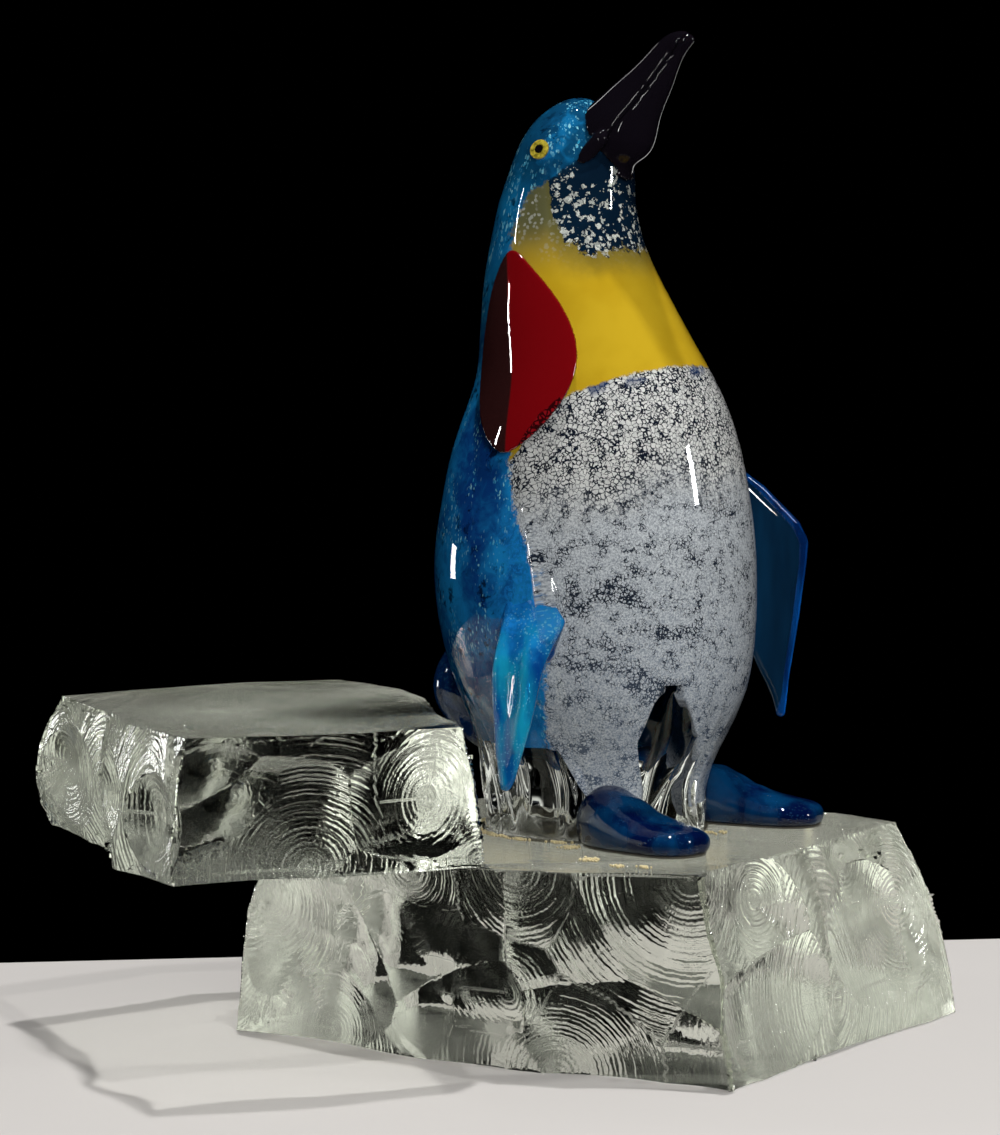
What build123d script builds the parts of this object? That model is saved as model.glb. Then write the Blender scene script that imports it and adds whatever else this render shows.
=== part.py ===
from build123d import *
import math
import os

# A solid glass penguin that looks up, glued to two broken blocks of clear glass.
# Millimetres. The origin is the middle of the lower block's underside, +Z is up, and -Y faces
# the viewer. The penguin is shaped in its own frame, facing -Y with its left at +X, and is then
# turned and set down on the lower block.

# Lower block: sawn top and bottom, knapped sides that spread downwards
LOWER_LENGTH = 310.0
LOWER_DEPTH = 278.0
LOWER_THICKNESS = 83.0
LOWER_BASE_SHARES = [
    (0.28, -1.0), (0.63, -0.42), (1.0, 0.135), (0.74, 0.47),
    (-0.28, 1.0), (-0.70, 0.42), (-1.0, -0.135), (-0.28, -0.69),
]
LOWER_MIDDLE_SHARES = [
    (0.255, -0.985), (0.61, -0.44), (0.95, 0.14), (0.735, 0.44),
    (-0.26, 0.98), (-0.68, 0.40), (-1.0, -0.16), (-0.25, -0.82),
]
LOWER_TOP_SHARES = [
    (0.217, -0.935), (0.53, -0.40), (0.825, 0.136), (0.665, 0.335),
    (-0.225, 0.863), (-0.60, 0.33), (-0.91, -0.21), (-0.20, -0.90),
]
# A scar gives its side of the outline, the shares along and up that side where it is struck,
# and its radius and depth as shares of the block's thickness
LOWER_SCAR_SHARES = [
    (7, 0.20, 0.96, 0.56, 0.075), (7, 0.86, 0.80, 0.50, 0.07), (7, 0.42, 0.04, 0.50, 0.08),
    (6, 0.30, 0.28, 0.56, 0.07), (6, 0.62, 0.74, 0.52, 0.07), (6, 0.86, 0.20, 0.40, 0.06),
    (0, 0.50, 0.30, 0.44, 0.07), (0, 0.42, 0.86, 0.42, 0.06), (1, 0.42, 0.52, 0.50, 0.08),
    (2, 0.50, 0.50, 0.32, 0.06), (3, 0.24, 0.60, 0.52, 0.08), (3, 0.66, 0.36, 0.60, 0.09),
    (4, 0.45, 0.70, 0.54, 0.08), (4, 0.62, 0.10, 0.44, 0.07), (5, 0.50, 0.45, 0.48, 0.08),
]

# Upper block: thinner, laid over the lower block's left corner. Its nose reaches past the
# figure's left side, and its middle stands nearer the viewer than the figure.
UPPER_LENGTH = 194.0
UPPER_DEPTH = 235.0
UPPER_THICKNESS = 57.0
UPPER_NOSE = 25.1
UPPER_SETBACK = 46.0
UPPER_BASE_SHARES = [
    (-0.95, 0.42), (-0.63, -0.16), (-0.51, -0.62), (-0.22, -1.0), (0.36, -0.80),
    (0.995, -0.57), (0.80, 0.14), (0.66, 0.60), (0.32, 0.985), (-0.32, 0.88),
]
UPPER_MIDDLE_SHARES = [
    (-1.02, 0.36), (-0.67, -0.23), (-0.50, -0.67), (-0.215, -1.03), (0.37, -0.89),
    (0.965, -0.65), (0.785, 0.12), (0.65, 0.58), (0.32, 0.975), (-0.25, 0.86),
]
UPPER_TOP_SHARES = [
    (-0.885, 0.30), (-0.60, -0.27), (-0.42, -0.66), (-0.19, -1.0), (0.36, -0.89),
    (0.90, -0.69), (0.735, 0.10), (0.61, 0.53), (0.30, 0.90), (-0.145, 0.785),
]
UPPER_SCAR_SHARES = [
    (0, 0.50, 0.42, 0.54, 0.10), (1, 0.52, 0.45, 0.40, 0.10), (2, 0.50, 0.35, 0.36, 0.11),
    (3, 0.60, 0.10, 0.70, 0.11), (3, 0.20, 0.70, 0.36, 0.06), (4, 0.55, 0.45, 0.56, 0.08),
    (5, 0.40, 0.55, 0.64, 0.09), (6, 0.45, 0.50, 0.44, 0.09), (7, 0.50, 0.55, 0.50, 0.10),
    (8, 0.50, 0.50, 0.54, 0.10), (9, 0.50, 0.55, 0.72, 0.11),
]
BLOCK_BOND_THICKNESS = 0.4

# The figure's place and facing on the lower block
FIGURE_X = -4.5
FIGURE_Y = 5.0
FIGURE_TURN = 59.0
GLUE_THICKNESS = 0.8
GLUE_SQUEEZE = 1.6

# Body: round sections up a leaning axis. The shares give each section's height, its radius and
# how far it stands forward of the upright axis.
BODY_HEIGHT = 309.0
BODY_RADIUS = 68.6
BODY_LEAN = 13.5
BODY_SHARES = [
    (0.0, 0.690, 0.00), (0.045, 0.700, 0.05), (0.090, 0.735, 0.15), (0.130, 0.790, 0.30),
    (0.180, 0.878, 0.32), (0.235, 0.948, 0.22), (0.290, 0.986, 0.12), (0.345, 1.000, 0.05),
    (0.400, 0.987, 0.05), (0.453, 0.953, 0.07), (0.508, 0.905, 0.08), (0.563, 0.831, 0.10),
    (0.617, 0.738, 0.02), (0.672, 0.656, -0.31), (0.727, 0.582, -0.66), (0.780, 0.507, -0.92),
    (0.820, 0.459, -1.00), (0.863, 0.420, -0.97), (0.900, 0.388, -0.82), (0.928, 0.350, -0.78),
    (0.950, 0.302, -0.76), (0.970, 0.240, -0.72), (0.985, 0.172, -0.66), (0.996, 0.095, -0.58),
    (1.0, 0.035, -0.55),
]
CASING_THICKNESS = 3.2
COLOUR_THICKNESS = 2.4

# Fold between the legs: a hollow down the front of the casing, a turn to the figure's right that
# grows towards its tip
FOLD_RADIUS = 17.0
FOLD_HEIGHT = 66.0
FOLD_DEPTH = 11.0
FOLD_FOOT_TURN = 20.0
FOLD_TIP_RADIUS = 1.0
FOLD_TIP_DEPTH = 2.7
FOLD_TIP_TURN = 32.0

# Borders of the colours, seen from the side: shares of the body's radius forward of the upright
# axis, and shares of the body's height
LEG_BACK_SHARES = [(0.36, 0.036), (0.20, 0.10), (0.09, 0.19), (-0.04, 0.34), (-0.09, 0.51)]
BELLY_TOP_SHARES = [(-0.09, 0.51), (0.10, 0.572), (0.30, 0.603), (0.80, 0.640)]
NECK_BACK_SHARES = [(-0.09, 0.51), (-0.16, 0.63), (-0.28, 0.74), (-0.33, 0.81)]
CHEEK_SHARES = [(-0.33, 0.81), (-0.27, 0.855), (-0.12, 0.885)]
THROAT_SHARES = [(-0.12, 0.885), (-0.05, 0.825), (0.10, 0.788), (0.27, 0.790), (0.80, 0.815)]
LEG_FOOT_SHARE = 0.036
BACK_FOOT_SHARE = 0.125
HEAD_FRONT_SHARE = 0.893
FAR_FRONT_SHARE = 1.5
CUT_SPAN = 200.0

# Ear patches: red bits on the sides of the neck. Their drop is from the top of the head to
# their foot.
PATCH_HEIGHT = 85.0
PATCH_WIDTH = 51.0
PATCH_BULGE = 1.8
PATCH_DROP = 148.0
PATCH_BACK = 33.0
PATCH_SHARES = [
    (0.54, 0.0), (0.84, 0.15), (0.99, 0.38), (0.93, 0.55), (0.70, 0.76), (0.42, 0.92),
    (0.24, 0.98), (0.12, 0.88), (0.03, 0.62), (0.02, 0.42), (0.14, 0.18), (0.33, 0.04),
]

# Eyes: a yellow disc with a black dot set in it, a drop below the top of the head
EYE_DROP = 23.0
EYE_BACK = 12.5
IRIS_RADIUS = 4.3
IRIS_STAND = 1.4
PUPIL_RADIUS = 1.8
PUPIL_STAND = 0.4
EYE_TILT = 20.0

# Beak: oval sections up a rising line, each with its place along the line, its breadth and
# depth as shares, and how far it bends up from the line
BEAK_ROOT_FORWARD = 3.0
BEAK_ROOT_DROP = 24.0
BEAK_LENGTH = 64.0
BEAK_RISE = 50.5
BEAK_BREADTH = 33.0
BEAK_DEPTH = 37.0
BEAK_SHARES = [
    (0.0, 1.0, 1.0, 0.0), (0.18, 0.92, 0.91, 0.0), (0.38, 0.72, 0.73, 0.0),
    (0.58, 0.51, 0.54, 0.005), (0.76, 0.37, 0.40, 0.015), (0.90, 0.28, 0.30, 0.01),
    (0.965, 0.22, 0.23, -0.015), (1.0, 0.10, 0.12, -0.035),
]
MOUTH_DROP = 5.0
MOUTH_END_DROP = 1.0
LOBE_LENGTH = 21.0
LOBE_RADIUS = 3.4
LOBE_STAND = 3.5
LOBE_BACK = 5.0
LOBE_DROP = 10.5
LOBE_TOE_IN = 14.0

# Flippers: oval sections across a blade, each with its height, its middle and its breadth along
# the blade, and its thickness as shares
RIGHT_FLIPPER_BREADTH = 37.0
RIGHT_FLIPPER_HEIGHT = 135.0
RIGHT_FLIPPER_THICKNESS = 12.5
RIGHT_FLIPPER_FOOT = 24.0
RIGHT_FLIPPER_STAND = 11.4
RIGHT_FLIPPER_TILT = 7.0
RIGHT_FLIPPER_SHARES = [
    (0.0, 0.105, 0.08, 0.24), (0.022, 0.11, 0.17, 0.42), (0.07, 0.12, 0.25, 0.60),
    (0.16, 0.14, 0.38, 0.72), (0.28, 0.165, 0.52, 0.76), (0.415, 0.18, 0.67, 0.82),
    (0.52, 0.19, 0.80, 0.94), (0.60, 0.20, 0.90, 1.00), (0.70, 0.14, 0.88, 1.00),
    (0.82, 0.05, 0.80, 0.92), (0.92, -0.05, 0.56, 0.72), (0.98, -0.08, 0.32, 0.48),
    (1.0, -0.08, 0.16, 0.26),
]
LEFT_FLIPPER_BREADTH = 70.0
LEFT_FLIPPER_HEIGHT = 122.0
LEFT_FLIPPER_THICKNESS = 8.0
LEFT_FLIPPER_FOOT = 41.0
LEFT_FLIPPER_SINK = 24.6
LEFT_FLIPPER_FORWARD = 8.0
LEFT_FLIPPER_TURN = 33.5
LEFT_FLIPPER_SHARES = [
    (0.0, 0.86, 0.035, 0.30), (0.028, 0.86, 0.055, 0.42), (0.055, 0.855, 0.075, 0.56),
    (0.13, 0.83, 0.155, 0.76), (0.25, 0.80, 0.30, 0.90), (0.40, 0.775, 0.44, 0.96),
    (0.53, 0.71, 0.64, 1.00), (0.61, 0.625, 0.83, 1.00), (0.655, 0.52, 1.02, 1.00),
    (0.70, 0.475, 0.98, 1.00), (0.76, 0.425, 0.85, 1.00), (0.83, 0.36, 0.70, 1.00),
    (0.90, 0.29, 0.52, 0.94), (0.96, 0.21, 0.30, 0.80), (1.0, 0.14, 0.10, 0.50),
]
# Tail lobe: oval sections down the foot of the back, each with its place down the lobe, its
# breadth and depth as shares, and how far it leans out
TAIL_TOP = 77.0
TAIL_HEIGHT = 47.0
TAIL_BREADTH = 36.0
TAIL_DEPTH = 30.0
TAIL_STAND = 5.4
TAIL_SHARES = [
    (0.0, 0.20, 0.24, 0.02), (0.10, 0.60, 0.68, 0.03), (0.30, 0.90, 0.94, 0.04),
    (0.52, 1.00, 1.00, 0.02), (0.74, 0.88, 0.84, -0.06), (0.90, 0.64, 0.56, -0.14),
    (1.0, 0.24, 0.20, -0.20),
]

# Feet: oval sections from heel to toes, each with its place along the foot, its breadth and
# height as shares, and its middle's height; the sole cuts them flat. The heel sinks into the
# body's foot, a turn away from straight ahead.
FOOT_BREADTH = 35.0
FOOT_HEIGHT = 27.0
RIGHT_FOOT_LENGTH = 58.0
LEFT_FOOT_LENGTH = 63.0
FOOT_HEEL_SINK = 0.8
FOOT_HEEL_TURN = 64.5
FOOT_SPLAY = 9.0
FOOT_SHARES = [
    (0.0, 0.30, 0.40, 0.30), (0.08, 0.66, 0.90, 0.34), (0.24, 0.90, 1.10, 0.34),
    (0.42, 0.98, 0.90, 0.26), (0.60, 1.00, 0.68, 0.18), (0.78, 0.98, 0.56, 0.15),
    (0.92, 0.78, 0.46, 0.14), (1.0, 0.30, 0.22, 0.13),
]


def outline_points(shares, length, depth, centre_x, centre_y, level):
    """Corner points of a block's outline at one level."""
    return [
        Vector(centre_x + along * length / 2, centre_y + across * depth / 2, level)
        for along, across in shares
    ]


def knapped_block(base, middle, top, scar_shares, thickness):
    """A block through three outlines, with shell-shaped scars broken out of its sides."""
    block = loft([make_face(Polyline(*points, close=True)) for points in (base, middle, top)])
    for side, along, up, radius_share, depth_share in scar_shares:
        following = (side + 1) % len(base)
        levels = [
            points[side] + (points[following] - points[side]) * along
            for points in (base, middle, top)
        ]
        half = 0 if up < 0.5 else 1
        place = levels[half] + (levels[half + 1] - levels[half]) * (2 * up - half)
        edge = middle[following] - middle[side]
        outward = edge.cross(levels[-1] - levels[0]).normalized()
        radius = radius_share * thickness
        depth = depth_share * thickness
        ball = (radius**2 + depth**2) / (2 * depth)
        block -= Pos(place + outward * (ball - depth)) * Sphere(ball)
    return block.solids().sort_by(SortBy.VOLUME)[-1]


def body_form(inset):
    """The body's form, smaller all round by an even wall."""
    heights = [height * BODY_HEIGHT for height, _, _ in BODY_SHARES]
    radii = [radius * BODY_RADIUS for _, radius, _ in BODY_SHARES]
    last = len(heights) - 1
    sections = []
    level = None
    for i, (_, _, lean) in enumerate(BODY_SHARES):
        before = max(i - 1, 0)
        after = min(i + 1, last)
        rise = heights[after] - heights[before]
        widening = radii[after] - radii[before]
        slope = math.hypot(rise, widening)
        height = heights[i]
        if i > 0:
            height += inset * widening / slope
        radius = radii[i] - inset * rise / slope
        if radius > radii[last] and (level is None or height > level):
            sections.append(Pos(0, -lean * BODY_LEAN, height) * Circle(radius))
            level = height
    summit = Pos(0, -BODY_SHARES[last][2] * BODY_LEAN, BODY_HEIGHT - inset)
    sections.append(summit * Circle(radii[last]))
    return loft(sections)


def leg_fold(margin):
    """The hollow down the front of the body, between the legs, wider all round by a margin."""
    low_radius = BODY_SHARES[0][1] * BODY_RADIUS
    low_out = low_radius + FOLD_RADIUS - FOLD_DEPTH
    low = Rot(0, 0, -FOLD_FOOT_TURN) * Pos(0, -low_out, 0) * Circle(FOLD_RADIUS + margin)
    tip_radius, tip_lean = section_at(FOLD_HEIGHT)
    tip_out = tip_radius + FOLD_TIP_RADIUS - FOLD_TIP_DEPTH
    tip = Pos(0, -tip_lean, FOLD_HEIGHT) * Rot(0, 0, -FOLD_TIP_TURN) * Pos(0, -tip_out, 0)
    return loft([low, tip * Circle(FOLD_TIP_RADIUS + margin)], ruled=True)


def side_prism(curves, corners):
    """A slab through the body whose outline is drawn from the side."""
    def place(share):
        return (0, -share[0] * BODY_RADIUS, share[1] * BODY_HEIGHT)

    outline = Curve()
    for curve in curves:
        outline += Spline(*[place(share) for share in curve])
    ends = [curves[-1][-1]] + corners + [curves[0][0]]
    outline += Polyline(*[place(share) for share in ends])
    return extrude(make_face(outline), amount=CUT_SPAN / 2, dir=(1, 0, 0), both=True)


def section_at(height):
    """Radius and forward lean of the body at a height."""
    for lower, upper in zip(BODY_SHARES, BODY_SHARES[1:]):
        if lower[0] * BODY_HEIGHT <= height <= upper[0] * BODY_HEIGHT:
            part = (height / BODY_HEIGHT - lower[0]) / (upper[0] - lower[0])
            radius = (lower[1] + (upper[1] - lower[1]) * part) * BODY_RADIUS
            lean = (lower[2] + (upper[2] - lower[2]) * part) * BODY_LEAN
            return radius, lean


def blade(shares, height, breadth, thickness, turn):
    """An upright blade of oval sections, whose breadth runs along +X before its turn."""
    return Rot(0, 0, turn) * loft([
        Pos(middle * breadth, 0, up * height)
        * Ellipse(width * breadth / 2, thick * thickness / 2)
        for up, middle, width, thick in shares
    ])


def foot(length):
    """A left foot with a flat sole, from its heel under the body to its toes."""
    sections = []
    for along, breadth, height, middle in FOOT_SHARES:
        oval = Ellipse(breadth * FOOT_BREADTH / 2, height * FOOT_HEIGHT / 2)
        sections.append(Pos(0, -along * length, middle * FOOT_HEIGHT) * Rot(90, 0, 0) * oval)
    sole = Pos(0, 0, -CUT_SPAN / 2) * Box(CUT_SPAN, CUT_SPAN, CUT_SPAN)
    heel_out = BODY_SHARES[0][1] * BODY_RADIUS - FOOT_HEEL_SINK
    heel = Rot(0, 0, FOOT_HEEL_TURN) * Pos(0, -heel_out, 0) * Rot(0, 0, FOOT_SPLAY - FOOT_HEEL_TURN)
    return heel * (loft(sections) - sole)


def whole(shape):
    """The largest solid of a cut shape."""
    return shape.solids().sort_by(SortBy.VOLUME)[-1]


def mirrored(shape):
    return mirror(shape, about=Plane.YZ)


# Blocks and the bond between them
lower_place = (LOWER_LENGTH, LOWER_DEPTH, 0, 0)
lower_ice_block = knapped_block(
    outline_points(LOWER_BASE_SHARES, *lower_place, 0),
    outline_points(LOWER_MIDDLE_SHARES, *lower_place, LOWER_THICKNESS / 2),
    outline_points(LOWER_TOP_SHARES, *lower_place, LOWER_THICKNESS),
    LOWER_SCAR_SHARES,
    LOWER_THICKNESS,
)
upper_floor = LOWER_THICKNESS + BLOCK_BOND_THICKNESS
upper_middle_x = FIGURE_X - BODY_RADIUS + UPPER_NOSE - UPPER_LENGTH / 2
upper_place = (UPPER_LENGTH, UPPER_DEPTH, upper_middle_x, FIGURE_Y - UPPER_SETBACK)
upper_ice_block = knapped_block(
    outline_points(UPPER_BASE_SHARES, *upper_place, upper_floor),
    outline_points(UPPER_MIDDLE_SHARES, *upper_place, upper_floor + UPPER_THICKNESS / 2),
    outline_points(UPPER_TOP_SHARES, *upper_place, upper_floor + UPPER_THICKNESS),
    UPPER_SCAR_SHARES,
    UPPER_THICKNESS,
)
lower_face = lower_ice_block.faces().sort_by(Axis.Z)[-1]
upper_face = upper_ice_block.faces().sort_by(Axis.Z)[0]
block_bond = whole(
    extrude(lower_face, amount=BLOCK_BOND_THICKNESS, dir=(0, 0, 1))
    & extrude(upper_face, amount=BLOCK_BOND_THICKNESS, dir=(0, 0, -1))
)

# Body: clear core, four colours, clear casing
form = body_form(0) - leg_fold(0)
colour_skin = body_form(CASING_THICKNESS) - leg_fold(CASING_THICKNESS)
body_core = whole(colour_skin & body_form(CASING_THICKNESS + COLOUR_THICKNESS))
colour_wall = colour_skin - body_core

belly_zone = side_prism(
    [LEG_BACK_SHARES, BELLY_TOP_SHARES],
    [(FAR_FRONT_SHARE, BELLY_TOP_SHARES[-1][1]), (FAR_FRONT_SHARE, LEG_FOOT_SHARE)],
)
throat_zone = side_prism(
    [THROAT_SHARES],
    [(FAR_FRONT_SHARE, THROAT_SHARES[-1][1]), (FAR_FRONT_SHARE, HEAD_FRONT_SHARE)],
)
front_zone = side_prism(
    [NECK_BACK_SHARES, CHEEK_SHARES],
    [(FAR_FRONT_SHARE, HEAD_FRONT_SHARE), (FAR_FRONT_SHARE, NECK_BACK_SHARES[0][1])],
)
back_zone = Pos(0, 0, BACK_FOOT_SHARE * BODY_HEIGHT + CUT_SPAN) * Box(*[2 * CUT_SPAN] * 3)
belly_colour = whole(colour_wall & belly_zone)
throat_colour = whole(colour_wall & throat_zone)
neck_colour = whole((colour_wall & front_zone) - belly_zone - throat_zone)
back_colour = whole((colour_wall & back_zone) - belly_zone - front_zone - throat_zone)
clear_casing = whole(
    form - body_core - belly_colour - throat_colour - neck_colour - back_colour
)
figure = {
    "body_core": body_core,
    "belly_colour": belly_colour,
    "throat_colour": throat_colour,
    "neck_colour": neck_colour,
    "back_colour": back_colour,
    "clear_casing": clear_casing,
}

# Flippers
figure["flipper_right"] = whole(
    Pos(-(BODY_RADIUS + RIGHT_FLIPPER_STAND), 0, RIGHT_FLIPPER_FOOT)
    * Rot(0, RIGHT_FLIPPER_TILT, 0)
    * blade(
        RIGHT_FLIPPER_SHARES,
        RIGHT_FLIPPER_HEIGHT,
        RIGHT_FLIPPER_BREADTH,
        RIGHT_FLIPPER_THICKNESS,
        -90,
    )
    - form
)
figure["flipper_left"] = whole(
    Pos(BODY_RADIUS - LEFT_FLIPPER_SINK, -LEFT_FLIPPER_FORWARD, LEFT_FLIPPER_FOOT)
    * blade(
        LEFT_FLIPPER_SHARES,
        LEFT_FLIPPER_HEIGHT,
        LEFT_FLIPPER_BREADTH,
        LEFT_FLIPPER_THICKNESS,
        -LEFT_FLIPPER_TURN,
    )
    - form
)

# Ear patches
patch_foot = BODY_HEIGHT - PATCH_DROP
patch_points = [
    (0, PATCH_BACK - forward * PATCH_WIDTH, patch_foot + height * PATCH_HEIGHT)
    for forward, height in PATCH_SHARES
]
patch_outline = make_face(Spline(*patch_points, periodic=True))
patch_prism = extrude(patch_outline, amount=CUT_SPAN, dir=(-1, 0, 0))
patch = (body_form(-PATCH_BULGE) & patch_prism) - form
figure["ear_patch_right"] = whole(patch - figure["flipper_right"])
figure["ear_patch_left"] = whole(mirrored(patch) - figure["flipper_left"])

# Eyes
eye_height = BODY_HEIGHT - EYE_DROP
eye_radius, eye_lean = section_at(eye_height)
eye_out = math.sqrt(eye_radius**2 - (EYE_BACK + eye_lean) ** 2)
eye_place = Pos(-eye_out, EYE_BACK, eye_height) * Rot(0, EYE_TILT - 90, 0)
pupil = eye_place * Cylinder(PUPIL_RADIUS, 2 * (IRIS_STAND + PUPIL_STAND)) - form
iris = eye_place * Cylinder(IRIS_RADIUS, 2 * IRIS_STAND) - form - pupil
figure["eye_iris_right"] = whole(iris)
figure["eye_pupil_right"] = whole(pupil)
figure["eye_iris_left"] = mirrored(figure["eye_iris_right"])
figure["eye_pupil_left"] = mirrored(figure["eye_pupil_right"])

# Beak
rise = math.radians(BEAK_RISE)
beak_root_height = BODY_HEIGHT - BEAK_ROOT_DROP
beak_root = Plane(
    origin=(0, -BEAK_ROOT_FORWARD, beak_root_height),
    x_dir=(1, 0, 0),
    z_dir=(0, -math.cos(rise), math.sin(rise)),
)
beak = loft([
    beak_root * Pos(0, bend * BEAK_LENGTH, along * BEAK_LENGTH)
    * Ellipse(breadth * BEAK_BREADTH / 2, depth * BEAK_DEPTH / 2)
    for along, breadth, depth, bend in BEAK_SHARES
])
mouth_turn = math.degrees(math.atan2(MOUTH_DROP - MOUTH_END_DROP, BEAK_LENGTH))
below_mouth = (
    beak_root * Pos(0, -MOUTH_DROP, 0) * Rot(-mouth_turn, 0, 0)
    * Pos(0, -CUT_SPAN / 2, 0) * Box(CUT_SPAN, CUT_SPAN, CUT_SPAN)
)
lobe_root = Pos(
    -(BEAK_BREADTH / 2 + LOBE_STAND),
    LOBE_BACK - BEAK_ROOT_FORWARD,
    beak_root_height - LOBE_DROP,
)
lobe = (
    lobe_root * Rot(0, LOBE_TOE_IN, 0) * Rot(90 - BEAK_RISE, 0, 0)
    * (Pos(0, 0, LOBE_LENGTH / 2) * Cylinder(LOBE_RADIUS, LOBE_LENGTH) + Sphere(LOBE_RADIUS)
       + Pos(0, 0, LOBE_LENGTH) * Sphere(LOBE_RADIUS))
)
figure["upper_beak"] = whole((beak - below_mouth) + lobe + mirrored(lobe) - form)
figure["lower_beak"] = whole((beak & below_mouth) - figure["upper_beak"] - form)

# Tail
tail_radius, tail_lean = section_at(TAIL_TOP - TAIL_HEIGHT / 2)
tail_back = tail_radius - tail_lean + TAIL_STAND
tail = loft([
    Pos(0, tail_back + lean * TAIL_HEIGHT, TAIL_TOP - down * TAIL_HEIGHT)
    * Ellipse(breadth * TAIL_BREADTH / 2, depth * TAIL_DEPTH / 2)
    for down, breadth, depth, lean in TAIL_SHARES
])
figure["tail"] = whole(tail - form)

# Feet and the glue under them
figure["foot_right"] = whole(mirrored(foot(RIGHT_FOOT_LENGTH)) - form)
figure["foot_left"] = whole(foot(LEFT_FOOT_LENGTH) - form)
base_radius = BODY_SHARES[0][1] * BODY_RADIUS + GLUE_SQUEEZE
body_adhesive = Pos(0, 0, -GLUE_THICKNESS / 2) * Cylinder(base_radius, GLUE_THICKNESS)
figure["body_adhesive"] = body_adhesive
for side in ("right", "left"):
    sole = figure[f"foot_{side}"].faces().filter_by(Axis.Z).sort_by(Axis.Z)[0]
    bed = extrude(sole, amount=GLUE_THICKNESS, dir=(0, 0, -1))
    figure[f"foot_adhesive_{side}"] = whole(bed - body_adhesive)

# Every piece in its place on the blocks
stand = Pos(FIGURE_X, FIGURE_Y, LOWER_THICKNESS + GLUE_THICKNESS) * Rot(0, 0, FIGURE_TURN)
pieces = {
    "lower_ice_block": lower_ice_block,
    "upper_ice_block": upper_ice_block,
    "block_bond": block_bond,
}
for name, piece in figure.items():
    pieces[name] = stand * piece

os.makedirs("parts", exist_ok=True)
for name, piece in pieces.items():
    export_step(piece, f"parts/{name}.step")
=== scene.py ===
import math
import random

import bmesh
import bpy
import numpy as np
from mathutils import Matrix, Vector, noise
from mathutils.bvhtree import BVHTree


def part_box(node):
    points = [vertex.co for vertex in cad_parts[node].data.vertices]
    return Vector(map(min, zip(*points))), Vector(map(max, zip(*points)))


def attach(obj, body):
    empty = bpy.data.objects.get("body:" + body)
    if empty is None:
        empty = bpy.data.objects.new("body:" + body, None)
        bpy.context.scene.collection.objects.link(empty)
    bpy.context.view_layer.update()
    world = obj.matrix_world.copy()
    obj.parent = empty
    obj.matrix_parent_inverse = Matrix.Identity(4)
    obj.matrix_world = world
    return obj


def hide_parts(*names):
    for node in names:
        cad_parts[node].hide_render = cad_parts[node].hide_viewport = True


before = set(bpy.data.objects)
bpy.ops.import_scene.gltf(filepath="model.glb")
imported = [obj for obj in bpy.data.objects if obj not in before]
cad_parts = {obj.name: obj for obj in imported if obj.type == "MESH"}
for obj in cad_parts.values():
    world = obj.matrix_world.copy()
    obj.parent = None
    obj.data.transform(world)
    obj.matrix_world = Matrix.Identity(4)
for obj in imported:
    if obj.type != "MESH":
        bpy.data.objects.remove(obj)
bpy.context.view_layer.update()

# Ice blocks: two thick slabs of clear glass, sawn flat above and below and left bright. Their
# sides are broken away with hammer blows, and each blow leaves a shell-shaped scar with ripples
# that run out from where it was struck.
# Lengths are in metres and angles in degrees here, unless a line says otherwise.
MERGE_GAP = 2e-6
FLAT_GAP = 1e-5
ICE_STEP = 0.0018
ICE_ROUNDS = 7
RIPPLE_LENGTH = 0.0062
RIPPLE_HEIGHT = 0.00018
RIPPLE_SWAY = 2.2
SCOOP_DEPTH = 0.0032
SCOOP_BORDER = 0.25
CHIP_DEPTH = 0.0007
CHIP_SCALE, SWELL_SCALE = 55, 28
ICE_EDGE_ANGLE = 18
ICE_TINT = (0.93, 0.96, 0.87)
ICE_INDEX = 1.5
ICE_LIGHT, ICE_SLANT_LIGHT = (0.98, 0.985, 0.97), 0.38
RING_SCALE, HACKLE_SCALE, HACKLE_DEPTH = 150, 420, 0.00016
# A blow gives its place as shares of the block's box, its reach in metres, how much taller than
# wide its scar is and how strongly it rippled
LOWER_BLOWS = [
    ((0.377, 0.094, 1.0), 0.034, 1.0, 1.2), ((0.594, 0.047, 0.98), 0.066, 1.0, 1.2),
    ((0.43, 0.137, 0.0), 0.046, 1.0, 0.9), ((0.21, 0.255, 0.54), 0.040, 1.0, 0.05),
    ((0.129, 0.343, 0.06), 0.036, 1.0, 1.0), ((0.05, 0.40, 0.75), 0.048, 1.3, 1.1),
    ((0.226, 0.21, 0.92), 0.028, 1.0, 1.3), ((0.355, 0.13, 0.38), 0.030, 1.0, 0.5),
    ((0.80, 0.285, 0.26), 0.080, 1.7, 1.2), ((0.657, 0.034, 0.19), 0.030, 2.4, 0.3),
    ((0.906, 0.494, 0.63), 0.050, 1.1, 0.7), ((0.826, 0.385, 0.89), 0.036, 1.0, 0.6),
    ((0.69, 0.176, 0.81), 0.036, 1.0, 1.1), ((0.97, 0.66, 0.3), 0.055, 1.2, 1.0),
    ((0.86, 0.86, 0.8), 0.060, 1.0, 1.0), ((0.62, 0.93, 0.2), 0.065, 1.1, 0.8),
    ((0.38, 1.0, 0.9), 0.060, 1.0, 1.0), ((0.22, 0.86, 0.2), 0.055, 1.1, 0.7),
    ((0.10, 0.66, 0.9), 0.050, 1.0, 1.0),
]
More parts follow.
